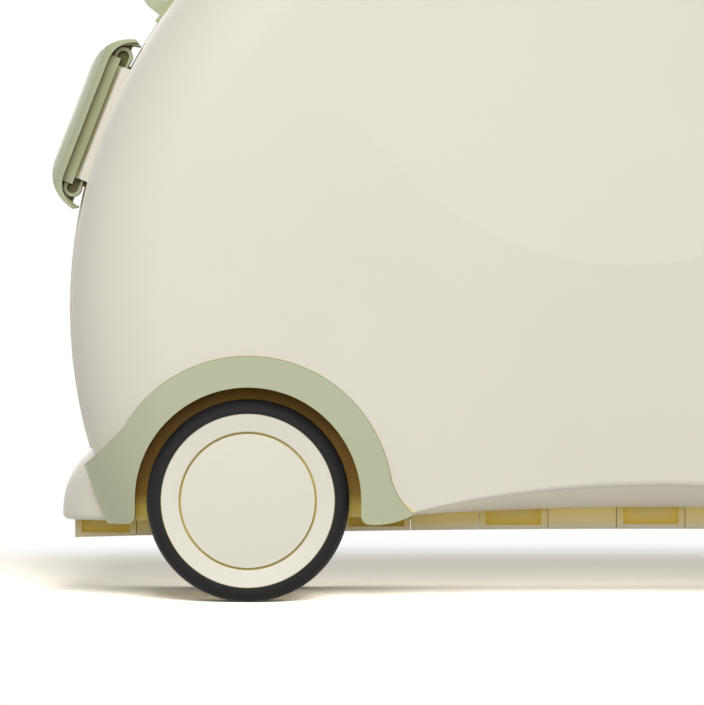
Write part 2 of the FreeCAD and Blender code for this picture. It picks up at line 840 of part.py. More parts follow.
def rim():
    """Wheel body: outer barrel with a dished front ring, a shelf for the cap, a web and a hub on the axle."""
    outer = bead_radius - running_clearance
    front = wheel_face_y
    ring_inner = cap_radius + cap_clearance
    shelf = ring_inner - rim_shelf
    barrel = outer - rim_thickness
    web_front = (hub_front_y + hub_back_y) / 2
    web_back = web_front + web_thickness
    bore = axle_radius + running_clearance
    points = [
        (outer, front + rim_edge),
        (outer - rim_edge, front),
        (ring_inner + rim_edge, front + rim_dish),
        (ring_inner, front + rim_dish + rim_edge),
        (ring_inner, cap_seat_y),
        (shelf, cap_seat_y),
        (shelf, cap_seat_y + rim_lip_depth),
        (barrel, cap_seat_y + rim_lip_depth),
        (barrel, web_front),
        (hub_radius, web_front),
        (hub_radius, hub_front_y),
        (bore, hub_front_y),
        (bore, hub_back_y),
        (hub_radius, hub_back_y),
        (hub_radius, web_back),
        (barrel, web_back),
        (barrel, wheel_back_y),
        (outer, wheel_back_y),
    ]
    return spun(points, -wheel_x, wheel_z)


def cap():
    """Flat cap with a slight crown that sits on the rim's shelf."""
    front = cap_seat_y - cap_thickness
    x, z = -wheel_x, wheel_z

    def at(radius, y):
        return Vector(x + radius, y, z)

    edges = [
        line(at(0, cap_seat_y), at(0, front - cap_crown)),
        arc(at(0, front - cap_crown), at(cap_radius / 2, front - cap_crown * 3 / 4), at(cap_radius, front)),
        line(at(cap_radius, front), at(cap_radius, cap_seat_y)),
        line(at(cap_radius, cap_seat_y), at(0, cap_seat_y)),
    ]
    return Part.Face(Part.Wire(edges)).revolve(Vector(x, 0, z), Vector(0, 1, 0), 360)


def axle():
    """Steel stub pressed into the boss up to its collar, which the hub runs against."""
    shank = rod_y(axle_radius, hub_front_y - retainer_height - side_clearance, axle_end_y, -wheel_x, wheel_z)
    collar_back_y = collar_front_y + axle_collar_height
    return shank.fuse(rod_y(axle_collar_radius, collar_front_y, collar_back_y, -wheel_x, wheel_z))


def retainer():
    """Push-on ring that holds the wheel on its axle."""
    y1 = hub_front_y - side_clearance
    y0 = y1 - retainer_height
    ring = rod_y(retainer_radius, y0, y1, -wheel_x, wheel_z)
    return ring.cut(rod_y(axle_radius + fixed_clearance, y0, y1, -wheel_x, wheel_z))


# Rider grip
def grip(clear_case):
    """Right grip: a waisted horn with a flared foot and a round end, leaned outward and forward."""
    base = hump_centre.z + math.sqrt(hump_radius**2 - (grip_x - hump_x) ** 2)
    lean = unit(Vector(grip_lean_x, -grip_lean_y, 1))
    sunk = grip_base_radius / 2
    neck_at = grip_length * 0.34
    swell_at = grip_length - grip_swell_radius
    slant = grip_swell_radius * math.sqrt(0.5)

    def at(radius, along):
        return Vector(radius, 0, along)

    edges = [
        line(at(0, -sunk), at(grip_base_radius, -sunk)),
        line(at(grip_base_radius, -sunk), at(grip_base_radius, 0)),
        arc(
            at(grip_base_radius, 0),
            at(grip_neck_radius + (grip_base_radius - grip_neck_radius) * 0.22, neck_at * 0.45),
            at(grip_neck_radius, neck_at),
        ),
        arc(
            at(grip_neck_radius, neck_at),
            at(grip_neck_radius * 0.4 + grip_swell_radius * 0.6, (neck_at + swell_at) / 2),
            at(grip_swell_radius, swell_at),
        ),
        arc(at(grip_swell_radius, swell_at), at(slant, swell_at + slant), at(0, grip_length)),
        line(at(0, grip_length), at(0, -sunk)),
    ]
    horn = Part.Face(Part.Wire(edges)).revolve(Vector(0, 0, 0), Vector(0, 0, 1), 360)
    horn.Placement = Placement(Vector(grip_x, -grip_y, base), Rotation(Vector(0, 0, 1), lean))
    return solid_only(horn.cut(clear_case))


# Hinge
def knuckle_span(index):
    """X range of a knuckle; the end ones run to the end of the pin."""
    middle = (index - (knuckle_count - 1) / 2) * knuckle_pitch
    start = middle - knuckle_pitch / 2
    end = middle + knuckle_pitch / 2
    if index == 0:
        start = -hinge_half_length
    if index == knuckle_count - 1:
        end = hinge_half_length
    return start, end


def hinge_bar():
    """The whole row of knuckles as one bowed bar, rounded below and turned round the pin."""
    half = hinge_half_length
    low_end = hinge_bottom_z - hinge_bow
    left = Vector(-half, 0, low_end)
    right = Vector(half, 0, low_end)
    edges = [
        arc(left, Vector(0, 0, hinge_bottom_z), right),
        line(right, Vector(half, 0, hinge_base_top)),
        line(Vector(half, 0, hinge_base_top), Vector(-half, 0, hinge_base_top)),
        line(Vector(-half, 0, hinge_base_top), left),
    ]
    bar = prism_y(edges, -knuckle_half_width, knuckle_half_width)
    bottom = [edge for edge in bar.Edges if isinstance(edge.Curve, Part.Circle)]
    bar = bar.makeFillet(knuckle_round, bottom)
    return bar.common(rod_x(hinge_reach, -half, half, 0, hinge_z))


def knuckle(bar, index, side):
    """One knuckle with a web up to its own half, on the given side, and a window on the other."""
    start, end = knuckle_span(index)
    x0 = start + knuckle_gap / 2
    x1 = end - knuckle_gap / 2
    y0, y1 = sorted((side * seam_gap / 2, side * knuckle_half_width))
    web = box(x0, x1, y0, y1, hinge_z, hinge_base_top)
    piece = bar.common(box(x0, x1, -beyond, beyond, skirt_z - beyond, hinge_base_top)).fuse(web)
    face_y = -side * knuckle_half_width
    w0, w1 = sorted((face_y, face_y + side * window_depth))
    share = max(abs(start), abs(end)) / hinge_half_length
    foot = hinge_bottom_z - hinge_bow * share**2 + window_foot
    window = box(x0 + window_margin, x1 - window_margin, w0, w1, foot, hinge_base_top)
    piece = piece.cut(window)
    bore = hinge_pin_radius + running_clearance
    return piece.cut(rod_x(bore, -hinge_half_length, hinge_half_length, 0, hinge_z))


def hang_on_hinge(half, bar, side):
    """Adds one half's own knuckles and clears room for the other half's."""
    own = []
    for index in range(knuckle_count):
        start, end = knuckle_span(index)
        if (index % 2 == 0) == (side > 0):
            own.append(knuckle(bar, index, side))
            continue
        room = rod_x(hinge_reach + hinge_clearance, start, end, 0, hinge_z)
        half = half.cut(room)
    pin_room = hinge_pin_radius + running_clearance
    nose_room = 2 * (hinge_z - bumper_bottom_z) + hinge_clearance
    half = half.cut(rod_x(pin_room, -hinge_half_length, hinge_half_length, 0, hinge_z))
    for sign in (-1, 1):
        x0, x1 = sorted((sign * (hinge_half_length - knuckle_gap), sign * (case_half_length + beyond)))
        half = half.cut(rod_x(nose_room, x0, x1, 0, hinge_z))
    half = half.multiFuse(own)
    return half


# Packing straps
def packing_strap(inner_form, low_x_side, y0):
    """A flat band across the left half, from a low end to the opposite high end."""
    rise = strap_high_z - strap_low_z
    angle = math.degrees(math.atan2(rise, 2 * case_half_length)) * low_x_side
    half = case_half_length + beyond
    band = box(-half, half, y0, y0 + strap_thickness, -strap_width / 2, strap_width / 2)
    band.Placement = Placement(
        Vector(0, 0, (strap_low_z + strap_high_z) / 2), Rotation(Vector(0, 1, 0), angle)
    )
    return solid_only(band.common(inner_form))


def strap_buckle():
    half = buckle_size / 2
    middle = (strap_low_z + strap_high_z) / 2
    y1 = strap_y - side_clearance
    block = box(-half, half, y1 - buckle_height, y1, middle - half, middle + half)
    corners = [edge for edge in block.Edges if abs(edge.Vertexes[0].Y - edge.Vertexes[1].Y) > 1]
    return block.makeFillet(buckle_round, corners)


def build():
    """Every node of the suitcase by name."""
    nodes = {}
    full = half_case(0)
    skin_out = half_case(fender_proud)
    skin_in = half_case(-fender_depth)
    pocket_in = half_case(-fender_depth - fender_clearance)
    cavity = half_case(-wall)
    clear_case = half_case(fender_clearance)
    bumper_clear = bumper(side_clearance)

    # Right half as a hollow shell
    solid = full.cut(under_belly(0)).cut(belly_edge_cutter())
    solid = solid.fuse(seam_band()).fuse(both_ends(bumper(0)))
    hollow = cavity.cut(under_belly(wall))
    hollow = hollow.cut(both_ends(wheel_well(well_wall))).cut(both_ends(axle_boss()))
    hollow = hollow.cut(handle_recess(wall))
    far = case_half_length + beyond
    hollow = hollow.cut(box(-far, far, -hinge_base_half, beyond, skirt_z - beyond, hinge_base_top))
    half = solid.cut(hollow)
    half = half.cut(both_ends(wheel_well(0).cut(axle_boss())))
    pocket_back_y = -fender_wrap_y + fender_clearance
    pocket = prism_y(fender_outline(fender_clearance), pocket_back_y, -(case_half_width + beyond))
    half = half.cut(both_ends(pocket.cut(pocket_in)))
    half = half.cut(handle_recess(0)).cut(handle_pin_rods(handle_pin_radius + fixed_clearance))
    half = half.cut(box(-far, far, -seam_gap / 2, beyond, skirt_z - beyond, 2 * saddle_height))
    axle_room = rod_y(axle_radius + fixed_clearance, -case_half_width, axle_end_y, -wheel_x, wheel_z)
    half = half.cut(both_ends(axle_room))
    for x, z in screw_places():
        hole = rod_y(screw_radius + fixed_clearance, -case_half_width, inner_skin_y, x, z)
        half = half.cut(both_ends(hole))

    # Pieces of the right half's own
    bar = hinge_bar()
    nodes["right_shell"] = solid_only(hang_on_hinge(half, bar, -1))
    keeper = rear_keeper(clear_case)
    nodes["rear_keeper"] = keeper
    nodes["front_keeper"] = flip_x(keeper)

    # Pieces of the left half's own
    left = flip_y(half)
    lugs = rear_catch_lugs().cut(flip_y(cavity))
    left = left.multiFuse(both_ends(lugs))
    pin_room = rear_catch_rod(catch_pin_radius + fixed_clearance)
    left = left.cut(both_ends(pin_room))
    seal_low = box(-far, far, -beyond, beyond, skirt_z - beyond, band_foot_z + band_width)
    groove_in = seal_width / 2
    groove = case_prism(groove_in, 0, seam_gap / 2 + seal_depth)
    groove = groove.cut(case_prism(-groove_in, -beyond, beyond)).cut(seal_low)
    left = left.cut(groove)
    nodes["left_shell"] = solid_only(hang_on_hinge(left, bar, 1))
    seal_in = groove_in - seal_clearance
    seal = case_prism(seal_in, 0, seam_gap / 2 + seal_depth)
    nodes["seam_seal"] = seal.cut(case_prism(-seal_in, -beyond, beyond)).cut(seal_low)

    nodes["hinge_pin"] = rod_x(hinge_pin_radius, -hinge_half_length, hinge_half_length, 0, hinge_z)

    # Corner pieces, made once for the rear right corner and mirrored
    corner_pieces = {
        "fender": rear_fender(skin_out, skin_in, bumper_clear),
        "tyre": tyre(),
        "rim": rim(),
        "cap": cap(),
        "axle": axle(),
        "retainer": retainer(),
    }
    for name, piece in corner_pieces.items():
        nodes["rear_right_" + name] = piece
        nodes["front_right_" + name] = flip_x(piece)
        nodes["rear_left_" + name] = flip_y(piece)
        nodes["front_left_" + name] = flip_x(flip_y(piece))

    screws = rear_screws()
    right_screws = Part.makeCompound(screws + [flip_x(screw) for screw in screws])
    nodes["right_fender_screws"] = right_screws
    nodes["left_fender_screws"] = flip_y(right_screws)

    # Catches
    clear_band = case_prism(band_proud + catch_seat_gap, -2 * catch_half_width, 2 * catch_half_width)
    catch = rear_catch(clear_band)
    pin = rear_catch_rod(catch_pin_radius)
    nodes["rear_catch"] = catch
    nodes["front_catch"] = flip_x(catch)
    nodes["rear_catch_pin"] = pin
    nodes["front_catch_pin"] = flip_x(pin)

    # Handles, grips and tow eyes
    right_grip = grip(clear_case)
    nodes["right_grip"] = right_grip
    nodes["left_grip"] = flip_y(right_grip)
    handle = carry_handle()
    pins = Part.makeCompound(handle_pin_rods(handle_pin_radius))
    nodes["right_handle"] = handle
    nodes["left_handle"] = flip_y(handle)
    nodes["right_handle_pins"] = pins
    nodes["left_handle_pins"] = flip_y(pins)
    eye = rear_tow_eye(clear_case)
    nodes["rear_tow_eye"] = eye
    nodes["front_tow_eye"] = flip_x(eye)

    # Packing straps
    strap_form = flip_y(half_case(-wall - strap_end_gap))
    nodes["packing_strap_rising"] = packing_strap(strap_form, -1, strap_y)
    nodes["packing_strap_falling"] = packing_strap(strap_form, 1, strap_y + strap_thickness + strap_end_gap)
    nodes["strap_buckle"] = strap_buckle()
    return nodes


os.makedirs("parts", exist_ok=True)
for node_name, node_shape in build().items():
    node_shape.exportStep("parts/" + node_name + ".step")
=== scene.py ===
import math

import bmesh
import bpy
from bpy.props import FloatProperty, FloatVectorProperty, IntProperty, PointerProperty
from bpy.types import Operator, Panel, PropertyGroup
from mathutils import Matrix, Vector


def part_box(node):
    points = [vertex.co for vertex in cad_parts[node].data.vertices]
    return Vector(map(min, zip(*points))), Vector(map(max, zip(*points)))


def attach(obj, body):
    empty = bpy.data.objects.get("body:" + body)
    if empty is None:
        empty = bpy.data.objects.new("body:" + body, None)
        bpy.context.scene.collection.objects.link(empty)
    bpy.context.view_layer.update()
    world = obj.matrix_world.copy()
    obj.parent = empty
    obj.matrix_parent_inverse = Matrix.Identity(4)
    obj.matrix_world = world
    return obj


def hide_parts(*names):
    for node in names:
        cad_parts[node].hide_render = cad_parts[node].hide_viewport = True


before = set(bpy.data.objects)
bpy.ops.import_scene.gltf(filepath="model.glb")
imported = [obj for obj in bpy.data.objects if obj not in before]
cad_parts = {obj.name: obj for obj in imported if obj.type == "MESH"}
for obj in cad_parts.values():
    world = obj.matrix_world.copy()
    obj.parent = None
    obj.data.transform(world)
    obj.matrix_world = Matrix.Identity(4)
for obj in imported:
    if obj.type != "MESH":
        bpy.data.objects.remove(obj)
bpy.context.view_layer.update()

bl_info = {
    "name": "Ride-on suitcase",
    "version": (1, 0, 0),
    "blender": (4, 5, 0),
    "location": "3D View > Sidebar > Suitcase",
    "description": "Finishes, packing straps and studio of a ride-on suitcase",
    "category": "Object",
}

# The frame's own sizes, in metres
TYRE_LOW, TYRE_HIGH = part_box("rear_right_tyre")
WHEEL_X = abs(TYRE_LOW.x + TYRE_HIGH.x) / 2
WHEEL_Z = (TYRE_LOW.z + TYRE_HIGH.z) / 2
CORNERS = [end + "_" + side for end in ("rear", "front") for side in ("right", "left")]

# The picture's size in pixels
PICTURE_WIDTH = 704
PICTURE_HEIGHT = 705

# The openness at which a gap's painted warm shade is full, begins in narrow gaps, and begins in shallow ones
GAP_SHADE_FULL = 0.35
GAP_SHADE_NARROW = 0.62
GAP_SHADE_SHALLOW = 0.92

# The openness at which a hollow's painted dark shade is full, and begins
DEEP_SHADE_FULL = 0.1
DEEP_SHADE_BEGIN = 0.55

# The span in which most values of a noise lie
NOISE_LOW = 0.3
NOISE_HIGH = 0.7

WHITE = (1.0, 1.0, 1.0, 1.0)

# Far lamps: turn, height and softness in degrees, and whether they light the floor alone or not at all
FAR_LAMPS = {
    "fill_lamp": (0, 4, 12, None),
    "floor_lamp": (6, 14.5, 14, "INCLUDE"),
    "top_lamp": (180, 85, 60, "EXCLUDE"),
    "back_lamp": (180, 30, 60, "EXCLUDE"),
    "front_end_lamp": (90, 25, 60, "EXCLUDE"),
    "rear_end_lamp": (-70, 20, 60, "EXCLUDE"),
}


# Settings
def shown(red, green, blue):
    """Scene-linear colour of one given as it is shown, from 0 to 255."""

    def linear(value):
        part = value / 255
        return part / 12.92 if part <= 0.04045 else ((part + 0.055) / 1.055) ** 2.4

    return linear(red), linear(green), linear(blue)


def colour(name, description, default):
    return FloatVectorProperty(
        name=name, description=description, subtype="COLOR", size=3, min=0.0, max=1.0, default=shown(*default)
    )


def length(name, description, default):
    return FloatProperty(
        name=name, description=description, subtype="DISTANCE", unit="LENGTH", precision=5, default=default
    )


def angle(name, description, degrees):
    return FloatProperty(
        name=name, description=description, subtype="ANGLE", unit="ROTATION", default=math.radians(degrees)
    )


def share(name, description, default):
    return FloatProperty(
        name=name, description=description, subtype="FACTOR", min=0.0, max=1.0, default=default
    )


def amount(name, description, default):
    return FloatProperty(name=name, description=description, min=0.0, default=default)


class SuitcaseColours(PropertyGroup):
    """Colours of the suitcase's mouldings, rubber, metal and webbing, with the painted shade of their gaps,
    hollows and grooves.
    """

    shell: colour("Shell", "Cream of the two moulded halves", (224, 219, 205))
    # The gap and depth colours are painted shade, laid into recesses and hollows where they are occluded;
    # Inner gaps sets how strongly away from the hinge, wheels and outer skin
    shell_gap_shade: colour("Shell gaps", "Gold of the shell's recesses", (250, 222, 95))
    shell_deep_shade: colour("Shell depths", "Amber of the shell's deep hollows", (172, 108, 4))
    inner_shade_share: share("Inner gaps", "How much of these two shows off the hinge, wheels and outer skin", 0.3)
    trim: colour("Trim", "Sage of the fenders, grips, handles and tow eyes", (182, 187, 157))
    trim_gap_shade: colour("Trim gaps", "Straw of the trim's recesses", (172, 160, 96))
    trim_deep_shade: colour("Trim depths", "Amber of the trim's deep hollows", (150, 88, 10))
    catch: colour("Catch", "Sage of the end catches", (178, 182, 150))
    catch_gap_shade: colour("Catch gaps", "Pale olive of the catches' recesses", (164, 164, 112))
    catch_deep_shade: colour("Catch depths", "Dark olive of the catches' hollows", (100, 92, 30))
    rim: colour("Wheel ring", "Off-white of the wheels' front rings", (230, 226, 212))
    cap: colour("Wheel cap", "Cream of the wheels' caps", (227, 223, 206))
    # The wheel groove colour is painted shade in the groove between ring and cap
    wheel_groove_shade: colour("Wheel groove", "Gold of the groove between ring and cap", (222, 202, 105))
    tyre: colour("Tyre", "Near-black of the tyres", (30, 30, 32))
    steel: colour("Steel", "Zinc-plated steel of pins, axles and screws", (196, 198, 201))
    seal: colour("Seal", "Grey rubber of the seam seal", (142, 140, 130))
    webbing: colour("Webbing", "Sage-grey of the packing straps", (150, 155, 126))
    thread: colour("Thread", "Pale thread of the straps' sewn ends", (214, 212, 192))
    buckle: colour("Buckle", "Dark sage of the straps' buckle", (134, 141, 112))


class SuitcaseGloss(PropertyGroup):
    """Roughness of the moulded plastics."""

    shell: share("Shell", "Roughness of the halves and the keepers", 0.46)
    trim: share("Trim", "Roughness of the sage trim and the catches", 0.44)
    rim: share("Wheel ring", "Roughness of the wheels' front rings", 0.36)
    cap: share("Wheel cap", "Roughness of the wheels' caps", 0.4)
    buckle: share("Buckle", "Roughness of the straps' buckle", 0.42)


class SuitcaseSizes(PropertyGroup):
    """Sizes of the surface detail and of the packing straps."""

    grain: length("Mould grain", "Size of the spark-eroded grain on the mouldings", 0.0006)
    grain_depth: length("Grain depth", "Depth of that grain", 0.000012)
    cloud: length("Colour cloud", "Size of the soft colour changes over a moulding", 0.11)
    sheen_patch: length("Sheen patch", "Size of the patches that are a little glossier", 0.035)
    # These reaches and heights set where shade is painted into gaps: by occlusion within a reach, stronger
    # under the case's belly, and dark only in hollows above it
    gap_shade_reach: length("Gap reach", "How near other walls have to be for a gap to look deep", 0.03)
    hollow_shade_reach: length("Hollow reach", "The same inside the catches", 0.008)
    groove_shade_reach: length("Groove reach", "The same for the narrow groove round a wheel's cap", 0.003)
    shade_low: length("Warm below", "Height under which even shallow gaps look warm, and none dark", 0.0365)
    shade_high: length("Plain above", "Height over which only narrow gaps look warm, and hollows dark", 0.042)
    hinge_out: length("Hinge reach", "How far out the hinge's warm gaps reach", 0.02)
    arch_radius: length("Arch radius", "Radius of the wheel arches", 0.0485)
    arch_back: length("Arch back", "How far out the wheel arches begin", 0.0608)
    skin_out: length("Outer skin", "How far out the shell's skin beside the fenders lies", 0.0995)
    rubber_grain: length("Rubber grain", "Size of the fine specks in the rubber", 0.0009)
    rubber_depth: length("Rubber depth", "Depth of those specks", 0.000024)
    tread_ring: length("Moulding rings", "Spacing of the faint rings turned into a tyre's mould", 0.0016)
    plating_cloud: length("Plating cloud", "Size of the cloudy patches in the plating", 0.007)
    plating_scratch: length("Plating scratch", "Width of the fine scratches in the plating", 0.0007)
    scratch_stretch: amount("Scratch stretch", "How many times longer than wide the scratches are", 12.5)
    strap_tilt: angle("Strap tilt", "Slope of the packing straps", 14.9015)
    strap_width: length("Strap width", "Greatest width of the webbing", 0.025)
    strap_wall: length("Strap thickness", "Thickness of the webbing", 0.0013)
    strap_hem: length("Strap hem", "Length of webbing folded back and sewn at each end", 0.026)
    hem_lift: amount("Hem lift", "How far a hem lies off its strap, in thicknesses of the webbing", 1.05)
    strap_rows: IntProperty(name="Strap rows", description="Rows of faces across a strap", min=4, default=12)
    weave: length("Weave", "Spacing of the webbing's slanted ribs", 0.0019)
    rib_depth: length("Rib depth", "Depth of those ribs", 0.0001625)
    fibre: length("Fibre", "Size of the webbing's loose fibres", 0.00038)
    fibre_depth: length("Fibre depth", "Depth of those fibres", 0.000048)
    sewing_margin: share("Sewing margin", "From a hem's edge to its sewing, as a share of the width", 0.12)
    stitch: length("Stitch", "Length of one stitch", 0.0023)
    stitch_gap: length("Stitch gap", "Space between two stitches", 0.0007)
    thread_width: length("Thread width", "Width of the sewing thread", 0.0006)
    twist_slope: angle("Thread twist", "Slope of the thread's twist lines", 40.0)
    twist_depth: length("Twist depth", "Depth of those lines", 0.0001)


class SuitcaseStudio(PropertyGroup):
    """Camera, lamps and floor."""

    camera_turn: angle("Camera turn", "How far the camera stands round to the front of the case", 0.0)
    camera_distance: length("Camera distance", "From the near side of the case", 3.0)
    aim_x: length("Aim along the case", "Point of the near side at the middle of the picture", -0.12136)
    aim_z: length("Aim height", "Height of the middle of the picture", 0.0985)
    near_side: length("Near side", "Where the near side of the case lies", -0.1)
    view_width: length("View width", "Width of the picture at the near side", 0.2774)
    key_lamp: amount("Key lamp", "Power of the soft lamp in front", 7.3)
    key_turn: angle("Key turn", "How far the key lamp stands round to the front of the case", -13.0)
    key_height: angle("Key height", "Angle of the key lamp above the near side", 28.0)
    key_distance: length("Key distance", "From the near side to the key lamp", 1.2)
    key_size: length("Key size", "Width of the key lamp", 0.6)
    fill_lamp: amount("Fill lamp", "Strength of the low lamp in front, that reaches under the case", 0.5)
    floor_lamp: amount("Floor lamp", "Strength of the low lamp that lights the floor alone", 5.5)
    top_lamp: amount("Top lamp", "Strength of the soft lamp overhead", 0.35)
    back_lamp: amount("Back lamp", "Strength of the soft lamp behind", 2.0)
    front_end_lamp: amount("Front end lamp", "Strength of the soft lamp at the front end", 1.2)
    rear_end_lamp: amount("Rear end lamp", "Strength of the soft lamp at the rear end", 0.18)
    room: amount("Room light", "Light that comes from all round", 0.25)
    floor_radius: length("Floor", "Radius of the floor", 9.0)
    floor_fade: length("Floor fade", "Where the floor passes into the white backdrop", 0.9)
    floor_white: amount("Floor white", "Paleness of the floor as it lights the case", 0.6)
    floor_look: amount("Floor look", "Paleness of the floor as it is seen", 2.1)
    floor_tint: colour("Floor tint", "Warm white of the floor", (255, 250, 238))


class SuitcaseSettings(PropertyGroup):
    """All settings of the suitcase."""

    colours: PointerProperty(type=SuitcaseColours)
    gloss: PointerProperty(type=SuitcaseGloss)
    sizes: PointerProperty(type=SuitcaseSizes)
    studio: PointerProperty(type=SuitcaseStudio)


def settings():
    return bpy.context.scene.suitcase


# Nodes
def toned(base, tone=1.0):
    """A colour made lighter or darker, with its alpha."""
    return tuple(min(1.0, value * tone) for value in base) + (1.0,)


class Nodes:
    """A node tree with short ways to add and link its nodes."""

    def __init__(self, tree):
        self.tree = tree

    def add(self, kind, inputs=None, **options):
        """A new node; an input is a value, or a socket to link from."""
        made = self.tree.nodes.new(kind)
        for option, value in options.items():
            setattr(made, option, value)
        for socket, value in (inputs or {}).items():
            if isinstance(value, bpy.types.NodeSocket):
                self.tree.links.new(value, made.inputs[socket])
            else:
                made.inputs[socket].default_value = value
        return made

    def end(self, node, socket, source):
        """Links a socket to one of the nodes that the tree starts with."""
        self.tree.links.new(source, self.tree.nodes[node].inputs[socket])

    def parts(self, vector):
        """A vector's X, Y and Z."""
        return self.add("ShaderNodeSeparateXYZ", {"Vector": vector}).outputs

    def maths(self, operation, first, second=0.0):
        return self.add("ShaderNodeMath", {0: first, 1: second}, operation=operation).outputs[0]

    def ranged(self, value, low, high, to_low=0.0, to_high=1.0, **options):
        """A value brought from one range to another, and kept within that."""
        inputs = {"Value": value, "From Min": low, "From Max": high, "To Min": to_low, "To Max": to_high}
        return self.add("ShaderNodeMapRange", inputs, **options).outputs["Result"]

    def either(self, part, first, second):
        """A mix of two shaders."""
        return self.add("ShaderNodeMixShader", {"Fac": part, 1: first, 2: second}).outputs["Shader"]

    def seen(self):
        """1 for what the camera sees, straight or in gloss and glass, and 0 for light that bounces."""
        path = self.add("ShaderNodeLightPath").outputs
        gloss_or_glass = self.maths("MAXIMUM", path["Is Glossy Ray"], path["Is Transmission Ray"])
        return self.maths("MAXIMUM", path["Is Camera Ray"], gloss_or_glass)


class Finish(Nodes):
    """A piece's material, with the patterns that finishes are made of."""

    def __init__(self, name, **constants):
        self.material = bpy.data.materials.new(name)
        self.material.use_nodes = True
        super().__init__(self.material.node_tree)
        for socket, value in constants.items():
            self.tree.nodes["Principled BSDF"].inputs[socket.replace("_", " ")].default_value = value
        self.place = self.add("ShaderNodeTexCoord").outputs["Object"]

    def set(self, socket, source):
        self.end("Principled BSDF", socket, source)

    def rough(self, pattern, smoothest, roughest, low=NOISE_LOW, high=NOISE_HIGH):
        """Roughness that follows a pattern."""
        self.set("Roughness", self.ranged(pattern, low, high, smoothest, roughest))

    def mapped(self, **changes):
        """Object coordinates turned or scaled."""
        return self.add("ShaderNodeMapping", {"Vector": self.place, **changes}).outputs["Vector"]

    def noise(self, size, detail=2.0, place=None):
        inputs = {"Vector": place or self.place, "Scale": 1 / size, "Detail": detail}
        return self.add("ShaderNodeTexNoise", inputs).outputs["Fac"]

    def mixed(self, part, first, second):
        """A mix of two colours, each a colour or a socket."""
        inputs = {"Factor": part, 6: first, 7: second}
        return self.add("ShaderNodeMix", inputs, data_type="RGBA").outputs[2]

    def tones(self, pattern, base, darkest, lightest):
        """A colour that follows a pattern from a darker to a lighter tone."""
        return self.mixed(pattern, toned(base, darkest), toned(base, lightest))

    def flecked(self, under, pattern, begin, full, most, over):
        """A colour with flecks of another where a pattern is high."""
        return self.mixed(self.ranged(pattern, begin, full, 0.0, most), under, over)

    def bump(self, height, depth, normal=None):
        inputs = {"Height": height, "Distance": depth, "Strength": 1.0}
        if normal:
            inputs["Normal"] = normal
        return self.add("ShaderNodeBump", inputs).outputs["Normal"]

    def waves(self, way, spacing):
        """Even waves along a way, from -1 to 1."""
        return self.maths("SINE", self.maths("MULTIPLY", way, 2 * math.pi / spacing))

    def from_axle(self):
        """Distance from the line of the nearest axle."""
        parts = self.parts(self.place)
        along = self.maths("SUBTRACT", self.maths("ABSOLUTE", parts["X"]), WHEEL_X)
        up = self.maths("SUBTRACT", parts["Z"], WHEEL_Z)
        squares = self.maths("ADD", self.maths("POWER", along, 2.0), self.maths("POWER", up, 2.0))
        return self.maths("SQRT", squares)

    def openness(self, reach):
        """How open a point lies, from 0 deep in a hollow to 1."""
        return self.add("ShaderNodeAmbientOcclusion", {"Distance": reach}, samples=12).outputs["AO"]


# Finishes
def gap_shade_strength(finish, low, out, elsewhere):
    """Strength of the painted gap shade: 1 in the hinge, the wheel arches and the outer skin, and another
    share elsewhere.
    """
    sizes = settings().sizes
    hinge = finish.maths("MULTIPLY", low, finish.maths("LESS_THAN", out, sizes.hinge_out))
    round_axle = finish.maths("LESS_THAN", finish.from_axle(), sizes.arch_radius)
    arch = finish.maths("MULTIPLY", round_axle, finish.maths("GREATER_THAN", out, sizes.arch_back))
    outside = finish.maths("MAXIMUM", arch, finish.maths("GREATER_THAN", out, sizes.skin_out))
    return finish.ranged(finish.maths("MAXIMUM", hinge, outside), 0.0, 1.0, elsewhere, 1.0)


def moulded(name, base, gap, deep, reach, roughness, elsewhere=1.0):
    """Moulded plastic: spark-eroded grain, soft changes of colour and sheen, and warm or dark painted shade
    in its gaps, which may be weaker elsewhere than in the hinge, the wheel arches and the outer skin."""
    sizes = settings().sizes
    finish = Finish(name, Specular_IOR_Level=0.2)
    plain = finish.tones(finish.noise(sizes.cloud, detail=3.0), base, darkest=0.97, lightest=1.03)
    parts = finish.parts(finish.place)
    # Under the belly even shallow gaps get painted shade, and above it only hollows get the painted dark
    # shade
    low = finish.ranged(parts["Z"], sizes.shade_low, sizes.shade_high, 1.0, 0.0)
    high = finish.ranged(low, 0.0, 1.0, 1.0, 0.0)
    strength = gap_shade_strength(finish, low, finish.maths("ABSOLUTE", parts["Y"]), elsewhere)
    # Occlusion sets where warm and dark shade is painted into the base colour
    openness = finish.openness(reach)
    begin = finish.ranged(low, 0.0, 1.0, GAP_SHADE_NARROW, GAP_SHADE_SHALLOW)
    warm = finish.maths("MULTIPLY", finish.ranged(openness, GAP_SHADE_FULL, begin, 1.0, 0.0), strength)
    dark = finish.maths("MULTIPLY", finish.ranged(openness, DEEP_SHADE_FULL, DEEP_SHADE_BEGIN, 1.0, 0.0), strength)
    gap_shaded = finish.mixed(warm, plain, toned(gap))
    finish.set("Base Color", finish.mixed(finish.maths("MULTIPLY", dark, high), gap_shaded, toned(deep)))
    patches = finish.noise(sizes.sheen_patch, detail=4.0)
    finish.rough(patches, smoothest=roughness - 0.04, roughest=roughness + 0.05)
    finish.set("Normal", finish.bump(finish.noise(sizes.grain), sizes.grain_depth))
    return finish.material


